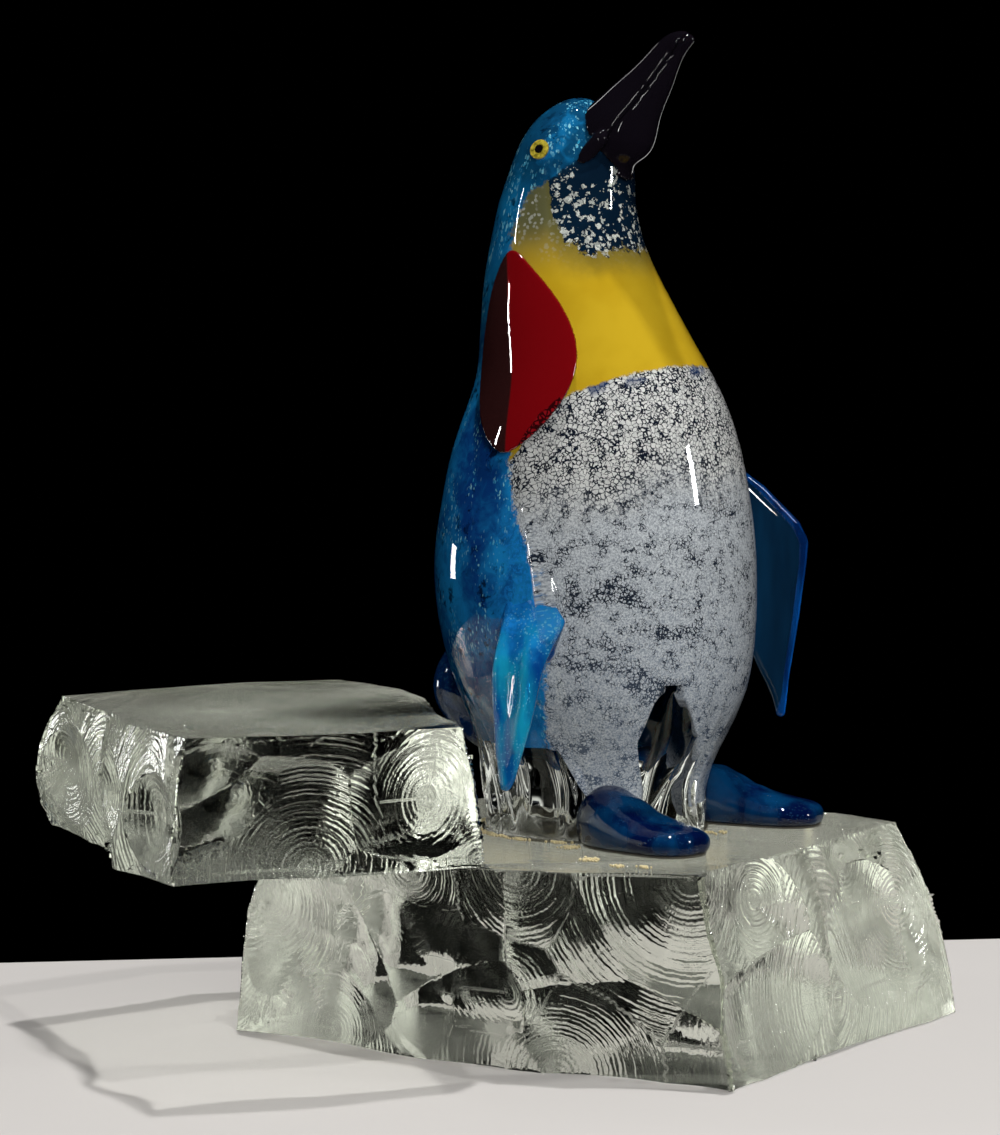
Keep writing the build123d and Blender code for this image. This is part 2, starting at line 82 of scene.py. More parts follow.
UPPER_BLOWS = [
    ((0.645, 0.10, 0.06), 0.064, 1.0, 1.5), ((0.98, 0.21, 0.06), 0.032, 1.0, 1.2),
    ((0.88, 0.16, 0.5), 0.036, 1.3, 1.2), ((0.48, 0.06, 0.60), 0.036, 1.0, 0.15),
    ((0.33, 0.115, 0.41), 0.028, 1.6, 1.0), ((0.18, 0.38, 0.43), 0.037, 1.3, 1.1),
    ((0.07, 0.60, 0.54), 0.042, 1.1, 1.1), ((0.22, 0.88, 0.3), 0.048, 1.0, 1.0),
    ((0.52, 0.98, 0.9), 0.050, 1.0, 0.8), ((0.86, 0.80, 0.3), 0.052, 1.1, 1.0),
    ((0.95, 0.40, 0.8), 0.050, 1.2, 0.9),
]


def merged_copy(node):
    """The triangles of a CAD node as one joined bmesh."""
    mesh = bmesh.new()
    mesh.from_mesh(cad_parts[node].data)
    bmesh.ops.remove_doubles(mesh, verts=mesh.verts, dist=MERGE_GAP)
    return mesh


def set_down(mesh, name, nodes, material, sharp=None):
    """Makes the piece of a bmesh, which rides on the body and stands for CAD nodes."""
    data = bpy.data.meshes.new(name)
    mesh.to_mesh(data)
    mesh.free()
    return set_down_mesh(data, name, nodes, material, sharp)


def set_down_mesh(data, name, nodes, material, sharp=None):
    """Makes the piece of a mesh; its edges past the angle sharp, in degrees, stay crisp."""
    data.shade_smooth()
    if sharp:
        data.set_sharp_from_angle(angle=math.radians(sharp))
    data.materials.clear()
    data.materials.append(material)
    piece = bpy.data.objects.new(name, data)
    bpy.context.scene.collection.objects.link(piece)
    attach(piece, "root")
    if nodes:
        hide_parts(*nodes)
    return piece


def is_sawn(face, low, high):
    """Whether a face lies in one of the block's two flat ends."""
    heights = [vert.co.z for vert in face.verts]
    return max(heights) < low.z + FLAT_GAP or min(heights) > high.z - FLAT_GAP


def fine_block(node):
    """A block's own solid with large flat ends and small even triangles on its broken sides."""
    low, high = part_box(node)
    mesh = merged_copy(node)
    bmesh.ops.dissolve_limit(
        mesh, angle_limit=math.radians(0.5), verts=mesh.verts, edges=mesh.edges
    )
    bmesh.ops.triangulate(mesh, faces=mesh.faces)
    for _ in range(ICE_ROUNDS):
        long = [
            e for e in mesh.edges
            if e.calc_length() > ICE_STEP and not all(is_sawn(f, low, high) for f in e.link_faces)
        ]
        bmesh.ops.subdivide_edges(mesh, edges=long, cuts=1)
        bmesh.ops.triangulate(mesh, faces=[f for f in mesh.faces if len(f.verts) > 3])
    mesh.verts.ensure_lookup_table()
    return mesh, low, high


def struck_block(node, blows):
    """A block whose broken sides carry the scoops and ripples of its blows."""
    mesh, low, high = fine_block(node)
    places = np.array([v.co for v in mesh.verts])
    outward = np.zeros_like(places)
    for face in mesh.faces:
        if not is_sawn(face, low, high):
            for vert in face.verts:
                outward[vert.index] += np.array(face.normal) * face.calc_area()
    lengths = np.linalg.norm(outward, axis=1)
    side = lengths > 0
    outward[side] /= lengths[side][:, None]
    scoops = []
    fields = []
    for place, reach, tall, _ in blows:
        centre = np.array([a + (b - a) * share for a, b, share in zip(low, high, place)])
        away = places - centre
        away[:, 2] /= tall
        distance = np.linalg.norm(away, axis=1)
        scoops.append(1 - (distance / reach) ** 2)
        around = np.arctan2(away[:, 2], away[:, 0] - away[:, 1])
        fields.append(np.stack([distance, around], axis=1))
    scoops = np.array(scoops)
    order = np.argsort(scoops, axis=0)
    index = np.arange(len(places))
    first, second = order[-1], order[-2]
    best = scoops[first, index]
    margin = np.clip((best - scoops[second, index]) / SCOOP_BORDER, 0, 1)
    own = np.array(fields)[first, index]
    wander = np.array([noise.noise(Vector(p) * CHIP_SCALE) for p in places])
    swell = np.array([noise.noise(Vector(p) * SWELL_SCALE + Vector((5, 0, 0))) for p in places])
    phase = own[:, 0] / RIPPLE_LENGTH * 2 * math.pi + wander * RIPPLE_SWAY
    strength = np.clip(0.8 + 1.0 * swell, 0.3, 1.4) * margin
    strength *= np.array([blow[3] for blow in blows])[first]
    ripple = RIPPLE_HEIGHT * strength * np.sin(phase)
    depth = SCOOP_DEPTH * np.clip(best, -0.4, 1) + CHIP_DEPTH * wander
    edge = np.minimum(places[:, 2] - low.z, high.z - places[:, 2])
    move = outward * ((ripple - depth) * side)[:, None]
    move[edge < FLAT_GAP, 2] = 0
    places += move
    places[:, 2] = np.clip(places[:, 2], low.z, high.z)
    for vert, place in zip(mesh.verts, places):
        vert.co = place
    scar = mesh.verts.layers.float_vector.new("scar")
    rim = mesh.verts.layers.float.new("rippled")
    for vert in mesh.verts:
        i = vert.index
        vert[scar] = (own[i, 0], own[i, 1] * 0.03, first[i])
        vert[rim] = float(strength[i] * side[i])
    return mesh


FACING_START, FACING_END = 0.10, 0.36


def clear_through(material, shader, shade, slant=0.35):
    """Lets a lamp's light pass the glass, and less of it where it meets the skin at a slant."""
    tree = material.node_tree
    path = tree.nodes.new("ShaderNodeLightPath")
    through = tree.nodes.new("ShaderNodeBsdfTransparent")
    facing = tree.nodes.new("ShaderNodeLayerWeight")
    dimming = tree.nodes.new("ShaderNodeValToRGB")
    square, slanted = dimming.color_ramp.elements
    square.position, square.color = FACING_START, (*shade, 1)
    slanted.position, slanted.color = FACING_END, (*[share * slant for share in shade], 1)
    mix = tree.nodes.new("ShaderNodeMixShader")
    tree.links.new(facing.outputs["Facing"], dimming.inputs["Fac"])
    tree.links.new(dimming.outputs["Color"], through.inputs["Color"])
    tree.links.new(path.outputs["Is Shadow Ray"], mix.inputs["Fac"])
    tree.links.new(shader.outputs["BSDF"], mix.inputs[1])
    tree.links.new(through.outputs["BSDF"], mix.inputs[2])
    tree.links.new(mix.outputs["Shader"], tree.nodes["Material Output"].inputs["Surface"])


def new_finish(name, colour, roughness, transmission=0.0, index=1.5):
    """A material with one Principled shader, and its node tree."""
    material = bpy.data.materials.new(name)
    material.use_nodes = True
    shader = material.node_tree.nodes["Principled BSDF"]
    shader.inputs["Base Color"].default_value = (*colour, 1)
    shader.inputs["Roughness"].default_value = roughness
    shader.inputs["Transmission Weight"].default_value = transmission
    shader.inputs["IOR"].default_value = index
    return material, shader, material.node_tree


def broken_ice():
    """Clear glass with the fine ripples and hackles of its scars."""
    material, shader, tree = new_finish("broken_ice", ICE_TINT, 0.0, 1.0, ICE_INDEX)
    scar = tree.nodes.new("ShaderNodeAttribute")
    scar.attribute_name = "scar"
    rippled = tree.nodes.new("ShaderNodeAttribute")
    rippled.attribute_name = "rippled"
    rings = tree.nodes.new("ShaderNodeTexWave")
    rings.bands_direction = "X"
    rings.inputs["Scale"].default_value = RING_SCALE
    rings.inputs["Distortion"].default_value = 2.5
    rings.inputs["Detail"].default_value = 3
    rings.inputs["Detail Scale"].default_value = 2
    tree.links.new(scar.outputs["Vector"], rings.inputs["Vector"])
    drawn = tree.nodes.new("ShaderNodeMapping")
    drawn.inputs["Scale"].default_value = (0.22, 1, 1)
    hackle = tree.nodes.new("ShaderNodeTexNoise")
    hackle.inputs["Scale"].default_value = HACKLE_SCALE
    hackle.inputs["Detail"].default_value = 3
    tree.links.new(scar.outputs["Vector"], drawn.inputs["Vector"])
    tree.links.new(drawn.outputs["Vector"], hackle.inputs["Vector"])
    relief = tree.nodes.new("ShaderNodeMath")
    relief.operation = "ADD"
    tree.links.new(rings.outputs["Fac"], relief.inputs[0])
    tree.links.new(hackle.outputs["Fac"], relief.inputs[1])
    height = tree.nodes.new("ShaderNodeMath")
    height.operation = "MULTIPLY"
    tree.links.new(relief.outputs["Value"], height.inputs[0])
    tree.links.new(rippled.outputs["Fac"], height.inputs[1])
    bump = tree.nodes.new("ShaderNodeBump")
    bump.inputs["Distance"].default_value = HACKLE_DEPTH
    tree.links.new(height.outputs["Value"], bump.inputs["Height"])
    tree.links.new(bump.outputs["Normal"], shader.inputs["Normal"])
    clear_through(material, shader, ICE_LIGHT, ICE_SLANT_LIGHT)
    return material


ice = broken_ice()
for name, blows in (("lower_ice", LOWER_BLOWS), ("upper_ice", UPPER_BLOWS)):
    node = f"{name}_block"
    set_down(struck_block(node, blows), name, [node], ice, ICE_EDGE_ANGLE)

# Bond: a thin film of clear adhesive, poured between the two blocks. It fills the joint where the
# upper block's sawn underside lies on the lower block's sawn top.
BOND_TINT, BOND_ROUGHNESS, BOND_INDEX = (0.92, 0.93, 0.88), 0.08, 1.48
BOND_LIGHT = (0.9, 0.9, 0.88)


def finish_solid(node, material):
    """Gives a solid that is shown as it is its material."""
    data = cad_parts[node].data
    data.materials.clear()
    data.materials.append(material)


bond, bond_shader, _ = new_finish("clear_bond", BOND_TINT, BOND_ROUGHNESS, 1.0, BOND_INDEX)
clear_through(bond, bond_shader, BOND_LIGHT)
finish_solid("block_bond", bond)

# Body: a solid gather of clear glass that is cased over its colours. It is fire-polished, its foot
# runs out in soft folds, and a clear strap for the near flipper is fused onto its shoulder.
CASING_GRAIN, CASING_POLISH = 0.0014, 6
CASING_TINT, CASING_LIGHT, CASING_SLANT_LIGHT = (0.985, 0.99, 0.99), (0.97, 0.98, 0.98), 0.9
SKIN_GAP = 0.0004
BODY_HEIGHT = 0.309
BODY_RADIUS = 0.0686
FIGURE_TURN = math.radians(59)
FIGURE = Matrix.Translation((-0.0045, 0.005, 0.0838)) @ Matrix.Rotation(FIGURE_TURN, 4, "Z")
# Folds and base in the figure's millimetres, with their depth in metres
FOLD_COUNT, FOLD_BOTTOM, FOLD_TOP, FOLD_DEPTH = 19, 1, 60, 0.0046
BASE_TOP, BASE_SINK = 0.6, 0.001
# Two runs of beads, each with its place to the left, forward and up, and its radius
STRAP = [
    [((-56, 3, 166), 4.5), ((-59, 5, 157), 5.5), ((-63, 7.5, 138), 5.6), ((-65.8, 11.5, 122), 4.8)],
    [((-65.8, 11.5, 122), 4.8), ((-68, 15.5, 105), 5.2), ((-68.6, 17.5, 92), 4.8),
     ((-68, 15, 79), 3.4)],
]


def in_figure(left, forward, up):
    """A place given in the figure's own millimetres."""
    return FIGURE @ Vector((left / 1000, -forward / 1000, up / 1000))


def finished_mesh(rough):
    """The mesh of an object with its modifiers applied."""
    return bpy.data.meshes.new_from_object(
        rough.evaluated_get(bpy.context.evaluated_depsgraph_get())
    )


def melted(mesh, grain, passes):
    """A closed bmesh with its edges melted soft, as even small faces."""
    data = bpy.data.meshes.new("raw")
    mesh.to_mesh(data)
    mesh.free()
    raw = bpy.data.objects.new("raw", data)
    bpy.context.scene.collection.objects.link(raw)
    melt = raw.modifiers.new("melt", "REMESH")
    melt.mode = "VOXEL"
    melt.voxel_size = grain
    melt.adaptivity = 0
    polish = raw.modifiers.new("polish", "SMOOTH")
    polish.factor = 0.5
    polish.iterations = passes
    done = finished_mesh(raw)
    bpy.data.objects.remove(raw)
    bpy.data.meshes.remove(data)
    return done


def beads(mesh, path):
    """Lays close beads along a path of places and radii, to be melted into one bit of glass."""
    for (here, radius), (there, next_radius) in zip(path, path[1:]):
        start, end = in_figure(*here), in_figure(*there)
        length = (end - start).length * 1000
        count = max(2, round(length / min(radius, next_radius) * 4))
        for step in range(count + 1):
            share = step / count
            size = (radius + (next_radius - radius) * share) / 1000
            place = Matrix.Translation(start.lerp(end, share))
            bmesh.ops.create_icosphere(mesh, subdivisions=2, radius=size, matrix=place)


def outer_skin():
    """The casing's outside alone, closed at the foot: the form of the whole body."""
    hidden = [
        BVHTree.FromBMesh(merged_copy(node))
        for node in ("body_core", "back_colour", "belly_colour", "neck_colour", "throat_colour")
    ]
    mesh = merged_copy("clear_casing")
    inner = [
        face for face in mesh.faces
        if any(tree.find_nearest(face.calc_center_median(), SKIN_GAP)[0] for tree in hidden)
    ]
    bmesh.ops.delete(mesh, geom=inner, context="FACES")
    bmesh.ops.holes_fill(mesh, edges=mesh.edges, sides=0)
    bmesh.ops.recalc_face_normals(mesh, faces=mesh.faces)
    for run in STRAP:
        beads(mesh, run)
    return mesh


def folded(data):
    """Draws the foot of the casing in by soft upright folds, and sets its base in the glue."""
    from_row = FIGURE.inverted()
    for vert in data.vertices:
        local = from_row @ vert.co
        up = local.z * 1000
        if up < BASE_TOP:
            vert.co.z -= BASE_SINK
        if up < FOLD_BOTTOM or up > FOLD_TOP:
            continue
        around = math.atan2(local.x, -local.y)
        bend = noise.noise(Vector((around * 1.7, up * 0.02, 3)))
        fold = 0.5 + 0.5 * math.sin(around * FOLD_COUNT + bend * 9 + up * 0.04)
        fade = min(1, (up - FOLD_BOTTOM) / 6) * max(0, min(1, (FOLD_TOP - up) / 30))
        inward = Vector((-local.x, -local.y, 0)).normalized()
        shift = inward * (FOLD_DEPTH * fold * fade * (0.4 + abs(bend) * 1.8))
        vert.co = FIGURE @ (local + shift)
    return data


clear, clear_shader, _ = new_finish("clear_casing", CASING_TINT, 0.0, 1.0)
clear_through(clear, clear_shader, CASING_LIGHT, CASING_SLANT_LIGHT)
casing = folded(melted(outer_skin(), CASING_GRAIN, CASING_POLISH))
set_down_mesh(casing, "casing", ["clear_casing", "body_core"], clear)

# Colours under the casing: powders, frit and silver leaf that the hot gather was rolled in. They
# run into each other at their borders, so one pattern colours all four layers by its place. Its
# heights are shares of the body's height, and its Forward runs from -1 at the back to 1.


def group(name, outputs):
    """An empty node group that puts out named sockets, with its output node."""
    tree = bpy.data.node_groups.new(name, "ShaderNodeTree")
    for kind, socket in outputs:
        tree.interface.new_socket(socket, in_out="OUTPUT", socket_type=kind)
    return tree, tree.nodes.new("NodeGroupOutput")


class Mixer:
    """Short words for the nodes of a pattern; a value may be a number, a colour or a socket."""

    def __init__(self, tree):
        self.tree = tree

    def plug(self, value, socket):
        if isinstance(value, bpy.types.NodeSocket):
            self.tree.links.new(value, socket)
        elif socket.type == "RGBA" and len(value) == 3:
            socket.default_value = (*value, 1)
        else:
            socket.default_value = value

    def sum(self, operation, a, b=0.0, c=0.0, clamp=False):
        node = self.tree.nodes.new("ShaderNodeMath")
        node.operation = operation
        node.use_clamp = clamp
        for value, socket in zip((a, b, c), node.inputs):
            self.plug(value, socket)
        return node.outputs[0]

    def times(self, *values):
        product = values[0]
        for value in values[1:]:
            product = self.sum("MULTIPLY", product, value)
        return product

    def step(self, value, start, end, low=0.0, high=1.0):
        """Eases from low to high while the value goes from start to end."""
        node = self.tree.nodes.new("ShaderNodeMapRange")
        node.interpolation_type = "SMOOTHSTEP"
        names = ("Value", "From Min", "From Max", "To Min", "To Max")
        for name, given in zip(names, (value, start, end, low, high)):
            self.plug(given, node.inputs[name])
        return node.outputs["Result"]

    def blend(self, amount, a, b, kind="MIX"):
        node = self.tree.nodes.new("ShaderNodeMix")
        node.data_type = "RGBA"
        node.blend_type = kind
        self.plug(amount, node.inputs[0])
        self.plug(a, node.inputs[6])
        self.plug(b, node.inputs[7])
        return node.outputs[2]

    def stretch(self, place, scale):
        node = self.tree.nodes.new("ShaderNodeMapping")
        self.plug(place, node.inputs["Vector"])
        node.inputs["Scale"].default_value = scale
        return node.outputs["Vector"]

    def grain(self, place, scale, detail=3.0, rough=0.55, output="Fac"):
        node = self.tree.nodes.new("ShaderNodeTexNoise")
        self.plug(place, node.inputs["Vector"])
        node.inputs["Scale"].default_value = scale
        node.inputs["Detail"].default_value = detail
        node.inputs["Roughness"].default_value = rough
        return node.outputs[output]

    def warp(self, place, scale, amount):
        """Shifts places about by a noise, so that cells get torn edges."""
        centred = self.tree.nodes.new("ShaderNodeVectorMath")
        centred.operation = "SUBTRACT"
        self.plug(self.grain(place, scale, 2, 0.6, "Color"), centred.inputs[0])
        centred.inputs[1].default_value = (0.5, 0.5, 0.5)
        shifted = self.tree.nodes.new("ShaderNodeVectorMath")
        shifted.operation = "MULTIPLY_ADD"
        self.plug(centred.outputs[0], shifted.inputs[0])
        shifted.inputs[1].default_value = (amount, amount, amount)
        self.plug(place, shifted.inputs[2])
        return shifted.outputs[0]

    def cells(self, place, scale, feature="F1", output="Distance"):
        node = self.tree.nodes.new("ShaderNodeTexVoronoi")
        node.feature = feature
        self.plug(place, node.inputs["Vector"])
        node.inputs["Scale"].default_value = scale
        return node.outputs[output]

    def share(self, place, scale):
        """One random share for each cell."""
        node = self.tree.nodes.new("ShaderNodeSeparateColor")
        self.plug(self.cells(place, scale, output="Color"), node.inputs["Color"])
        return node.outputs[0]

    def border(self, value, points):
        """A curve through chosen points, with both axes from 0 to 1."""
        node = self.tree.nodes.new("ShaderNodeFloatCurve")
        curve = node.mapping.curves[0]
        for x, y in points[1:-1]:
            curve.points.new(x, y)
        curve.points[0].location = points[0]
        curve.points[-1].location = points[-1]
        node.mapping.update()
        self.plug(value, node.inputs["Value"])
        return node.outputs["Value"]

    def use(self, tree):
        node = self.tree.nodes.new("ShaderNodeGroup")
        node.node_tree = tree
        return node.outputs


def figure_place_group():
    """Where a point lies in the figure: forward and up, as shares of the body."""
    tree, out = group("figure_place", [
        ("NodeSocketFloat", "Forward"), ("NodeSocketFloat", "Height"),
        ("NodeSocketVector", "Place"),
    ])
    mix = Mixer(tree)
    here = tree.nodes.new("ShaderNodeTexCoord")
    turn = tree.nodes.new("ShaderNodeMapping")
    turn.vector_type = "TEXTURE"
    turn.inputs["Location"].default_value = FIGURE.translation
    turn.inputs["Rotation"].default_value = (0, 0, FIGURE_TURN)
    tree.links.new(here.outputs["Object"], turn.inputs["Vector"])
    apart = tree.nodes.new("ShaderNodeSeparateXYZ")
    tree.links.new(turn.outputs["Vector"], apart.inputs["Vector"])
    mix.plug(mix.times(apart.outputs["Y"], -1 / BODY_RADIUS), out.inputs["Forward"])
    mix.plug(mix.times(apart.outputs["Z"], 1 / BODY_HEIGHT), out.inputs["Height"])
    mix.plug(turn.outputs["Vector"], out.inputs["Place"])
    return tree


place_group = figure_place_group()


def crackle_group():
    """Silver leaf over dark glass, torn into grains: coarse at the breast, fine and blue below."""
    tree, out = group("belly_crackle", [("NodeSocketColor", "Color")])
    mix = Mixer(tree)
    place = mix.use(place_group)
    at, height = place["Place"], place["Height"]
    torn = mix.warp(at, 520, 0.0024)
    open_up = mix.grain(at, 190, 4, 0.65)
    patch = mix.grain(at, 26, 3)
    coarse = mix.step(mix.sum("MULTIPLY_ADD", patch, 0.14, height), 0.49, 0.58)
    banding = mix.grain(mix.stretch(at, (0.30, 0.30, 1.5)), 52, 4, 0.65)
    band = mix.step(banding, 0.50, 0.66)
    gap = mix.step(open_up, 0.40, 0.70, 0.010, 0.15)
    top_edge = mix.cells(torn, 540, "DISTANCE_TO_EDGE")
    top_grain = mix.step(top_edge, gap, mix.sum("ADD", gap, 0.08))
    leaf = mix.blend(mix.share(torn, 500), (0.52, 0.52, 0.50), (0.92, 0.91, 0.86))
    leaf = mix.blend(mix.grain(at, 1500, 2), leaf, (0.80, 0.80, 0.78))
    top = mix.blend(top_grain, (0.006, 0.010, 0.022), leaf)
    fine_gap = mix.sum("ADD", mix.step(open_up, 0.44, 0.68, -0.05, 0.09), mix.times(band, 0.10))
    fine_edge = mix.cells(torn, 640, "DISTANCE_TO_EDGE")
    fine = mix.step(fine_edge, fine_gap, mix.sum("ADD", fine_gap, 0.07))
    haze = mix.blend(mix.step(height, 0.05, 0.45), (0.29, 0.36, 0.46), (0.33, 0.36, 0.40))
    pale = mix.blend(mix.step(mix.grain(at, 1300, 3, 0.75), 0.36, 0.62), haze, (0.80, 0.83, 0.85))
    dark = mix.blend(mix.step(height, 0.06, 0.32), (0.12, 0.16, 0.23), (0.02, 0.028, 0.045))
    low = mix.blend(fine, dark, pale)
    mix.plug(mix.blend(coarse, low, top), out.inputs["Color"])
    return tree


def blue_group():
    """Blue frit and powder in streaks, with dark clots and bright cyan flecks of leaf."""
    tree, out = group("back_blue", [("NodeSocketColor", "Color")])
    mix = Mixer(tree)
    place = mix.use(place_group)
    at, height = place["Place"], place["Height"]
    torn = mix.warp(at, 300, 0.002)
    long = mix.stretch(torn, (1, 1, 0.35))
    cloud = mix.grain(mix.warp(at, 60, 0.02), 30, 5, 0.65)
    base = mix.blend(mix.step(cloud, 0.34, 0.62), (0.005, 0.06, 0.28), (0.015, 0.32, 0.76))
    base = mix.blend(mix.step(height, 0.55, 0.75, 0.0, 0.6), base, (0.008, 0.20, 0.40))
    face_cloud = mix.step(mix.grain(mix.warp(at, 90, 0.02), 55, 3), 0.34, 0.48)
    face = mix.times(mix.step(height, 0.84, 0.90), face_cloud)
    base = mix.blend(mix.times(face, 0.65), base, (0.003, 0.015, 0.04))
    clot = mix.step(mix.grain(torn, 210, 4, 0.7), 0.53, 0.62)
    clotted = mix.step(mix.grain(at, 45, 2), 0.45, 0.60)
    base = mix.blend(mix.times(clot, clotted, 0.85), base, (0.001, 0.006, 0.022))
    size = mix.times(mix.share(long, 900), mix.step(height, 0.50, 0.75, 0.40, 0.56))
    fleck = mix.step(mix.cells(long, 900), mix.sum("ADD", size, 0.06), size)
    crowd = mix.step(mix.grain(mix.stretch(at, (1, 1, 0.5)), 85, 3), 0.46, 0.62)
    glint = mix.blend(mix.share(torn, 640), (0.03, 0.45, 0.75), (0.40, 0.90, 0.98))
    shoulder = mix.times(
        mix.step(height, 0.24, 0.30), mix.step(height, 0.50, 0.40),
        mix.step(place["Forward"], -0.25, 0.05),
    )
    powder = mix.times(mix.step(mix.grain(torn, 620, 3, 0.75), 0.46, 0.60), shoulder, 0.75)
    base = mix.blend(powder, base, (0.015, 0.30, 0.85))
    mix.plug(mix.blend(mix.times(fleck, crowd, 0.9), base, glint), out.inputs["Color"])
    return tree


back_blue = blue_group()


def yellow_group():
    """Opaque yellow that thins to an olive haze with pale specks near the cheek."""
    tree, out = group("neck_yellow", [("NodeSocketColor", "Color")])
    mix = Mixer(tree)
    place = mix.use(place_group)
    at, height = place["Place"], place["Height"]
    cloud = mix.grain(at, 45, 3)
    base = mix.blend(mix.step(cloud, 0.3, 0.7), (0.60, 0.375, 0.014), (0.68, 0.44, 0.020))
    thin = mix.step(mix.sum("MULTIPLY_ADD", cloud, 0.05, height), 0.765, 0.87)
    base = mix.blend(thin, base, (0.17, 0.165, 0.07))
    torn = mix.warp(at, 500, 0.0016)
    speck = mix.step(mix.cells(torn, 480), 0.42, 0.30)
    strewn = mix.step(mix.grain(at, 90, 2), 0.42, 0.58)
    speck = mix.times(speck, mix.step(height, 0.76, 0.86), strewn)
    mix.plug(mix.blend(mix.times(speck, 0.85), base, (0.62, 0.63, 0.54)), out.inputs["Color"])
    return tree


def throat_group():
    """Dark navy with torn flakes of silver leaf that crowd towards its lower edge."""
    tree, out = group("throat_flakes", [("NodeSocketColor", "Color")])
    mix = Mixer(tree)
    place = mix.use(place_group)
    at, height = place["Place"], place["Height"]
    torn = mix.warp(at, 520, 0.0042)
    crowd = mix.step(mix.grain(at, 80, 2), 0.36, 0.54)
    crowd = mix.sum("MAXIMUM", crowd, mix.step(height, 0.86, 0.79))
    size = mix.times(mix.share(torn, 400), crowd, 0.66)
    flake = mix.step(mix.cells(torn, 400), mix.sum("ADD", size, 0.05), size)
    base = mix.blend(mix.grain(at, 40, 2), (0.002, 0.006, 0.018), (0.006, 0.028, 0.06))
    leaf = mix.blend(mix.share(torn, 700), (0.36, 0.38, 0.35), (0.88, 0.90, 0.82))
    mix.plug(mix.blend(flake, base, leaf), out.inputs["Color"])
    return tree


def colours_group():
    """All the colours under the casing, with their ragged borders, and masks of two of them."""
    parts = [crackle_group(), back_blue, yellow_group(), throat_group()]
    tree, out = group("body_colours", [
        ("NodeSocketColor", "Color"), ("NodeSocketFloat", "Blue"), ("NodeSocketFloat", "Crackle"),
    ])
    mix = Mixer(tree)
    place = mix.use(place_group)
    at = place["Place"]
    rag = mix.sum("SUBTRACT", mix.grain(at, 260, 4, 0.75), 0.5)
    wave = mix.sum("SUBTRACT", mix.grain(at, 40, 2), 0.5)
    height = mix.sum("MULTIPLY_ADD", wave, 0.014, place["Height"])
    ragged = mix.sum("MULTIPLY_ADD", rag, 0.03, height)
    unit = mix.sum("MULTIPLY_ADD", place["Forward"], 0.5, 0.5)
    rear = mix.border(height, [
        (0.0, 0.60), (0.04, 0.59), (0.10, 0.56), (0.19, 0.57), (0.27, 0.60), (0.34, 0.585),
        (0.40, 0.54), (0.46, 0.48), (0.51, 0.455), (0.63, 0.42), (0.74, 0.36), (0.81, 0.335),
        (0.855, 0.365), (0.885, 0.44), (1.0, 0.9),
    ])
    rear = mix.sum("MULTIPLY_ADD", rear, 2.0, -1.0)
    belly_top = mix.border(unit, [
        (0.0, 0.50), (0.455, 0.51), (0.55, 0.572), (0.65, 0.603), (0.90, 0.640), (1.0, 0.65),
    ])
    throat = mix.border(unit, [
        (0.0, 1.0), (0.40, 1.0), (0.44, 0.885), (0.475, 0.825), (0.55, 0.788), (0.635, 0.79),
        (0.90, 0.815), (1.0, 0.82),
    ])
    crackle, blue, yellow, dark = [mix.use(part)["Color"] for part in parts]
    past_rear = mix.sum("SUBTRACT", place["Forward"], rear)
    front = mix.step(mix.sum("MULTIPLY_ADD", rag, 0.20, past_rear), -0.02, 0.02)
    over_throat = mix.sum("SUBTRACT", ragged, throat)
    fade = mix.times(mix.step(over_throat, -0.045, -0.002), 0.5)
    yellow = mix.blend(fade, yellow, (0.16, 0.14, 0.03))
    flaked = mix.step(mix.sum("MULTIPLY_ADD", rag, 0.03, over_throat), -0.004, 0.004)
    neck = mix.blend(flaked, yellow, dark)
    over_belly = mix.sum("SUBTRACT", height, belly_top)
    broken = mix.step(mix.grain(at, 70, 3), 0.50, 0.58)
    edge = mix.times(mix.step(over_belly, -0.022, -0.004), broken)
    crackle = mix.blend(mix.times(edge, 0.8), crackle, (0.004, 0.03, 0.12))
    crackled = mix.step(mix.sum("MULTIPLY_ADD", rag, 0.012, over_belly), 0.003, -0.002)
    mix.plug(mix.blend(front, blue, mix.blend(crackled, neck, crackle)), out.inputs["Color"])
    mix.plug(mix.step(past_rear, 0.01, -0.01), out.inputs["Blue"])
    mix.plug(crackled, out.inputs["Crackle"])
    return tree


body_colours = colours_group()


def layer_finish():
    """The coloured layers: no skin of their own, since the casing is fused to them."""
    material, shader, tree = new_finish("cased_colours", (0.5, 0.5, 0.5), 0.45)
    shader.inputs["Specular IOR Level"].default_value = 0.0
    tree.links.new(Mixer(tree).use(body_colours)["Color"], shader.inputs["Base Color"])
    return material


cased = layer_finish()
for node in ("back_colour", "neck_colour", "throat_colour"):
    finish_solid(node, cased)

# Belly layer: silver leaf and powder that the gather was rolled in, torn into grains as it was
# blown out. It parts over the fold between the legs, where the glass stays clear.
LEG_GAP = [
    ((-35, 56, 66), 1.6), ((-31, 53, 54), 9), ((-26, 50, 42), 14), ((-14, 48, 20), 17),
    ((-8, 46, -4), 18),
]
LEG_GAP_GRAIN, LEG_GAP_POLISH = 0.0015, 4
LEAF_EDGE_ANGLE = 30


def put_up(name, data):
    """An object of a mesh that is only needed while a piece is made."""
    rough = bpy.data.objects.new(name, data)
    bpy.context.scene.collection.objects.link(rough)
    return rough


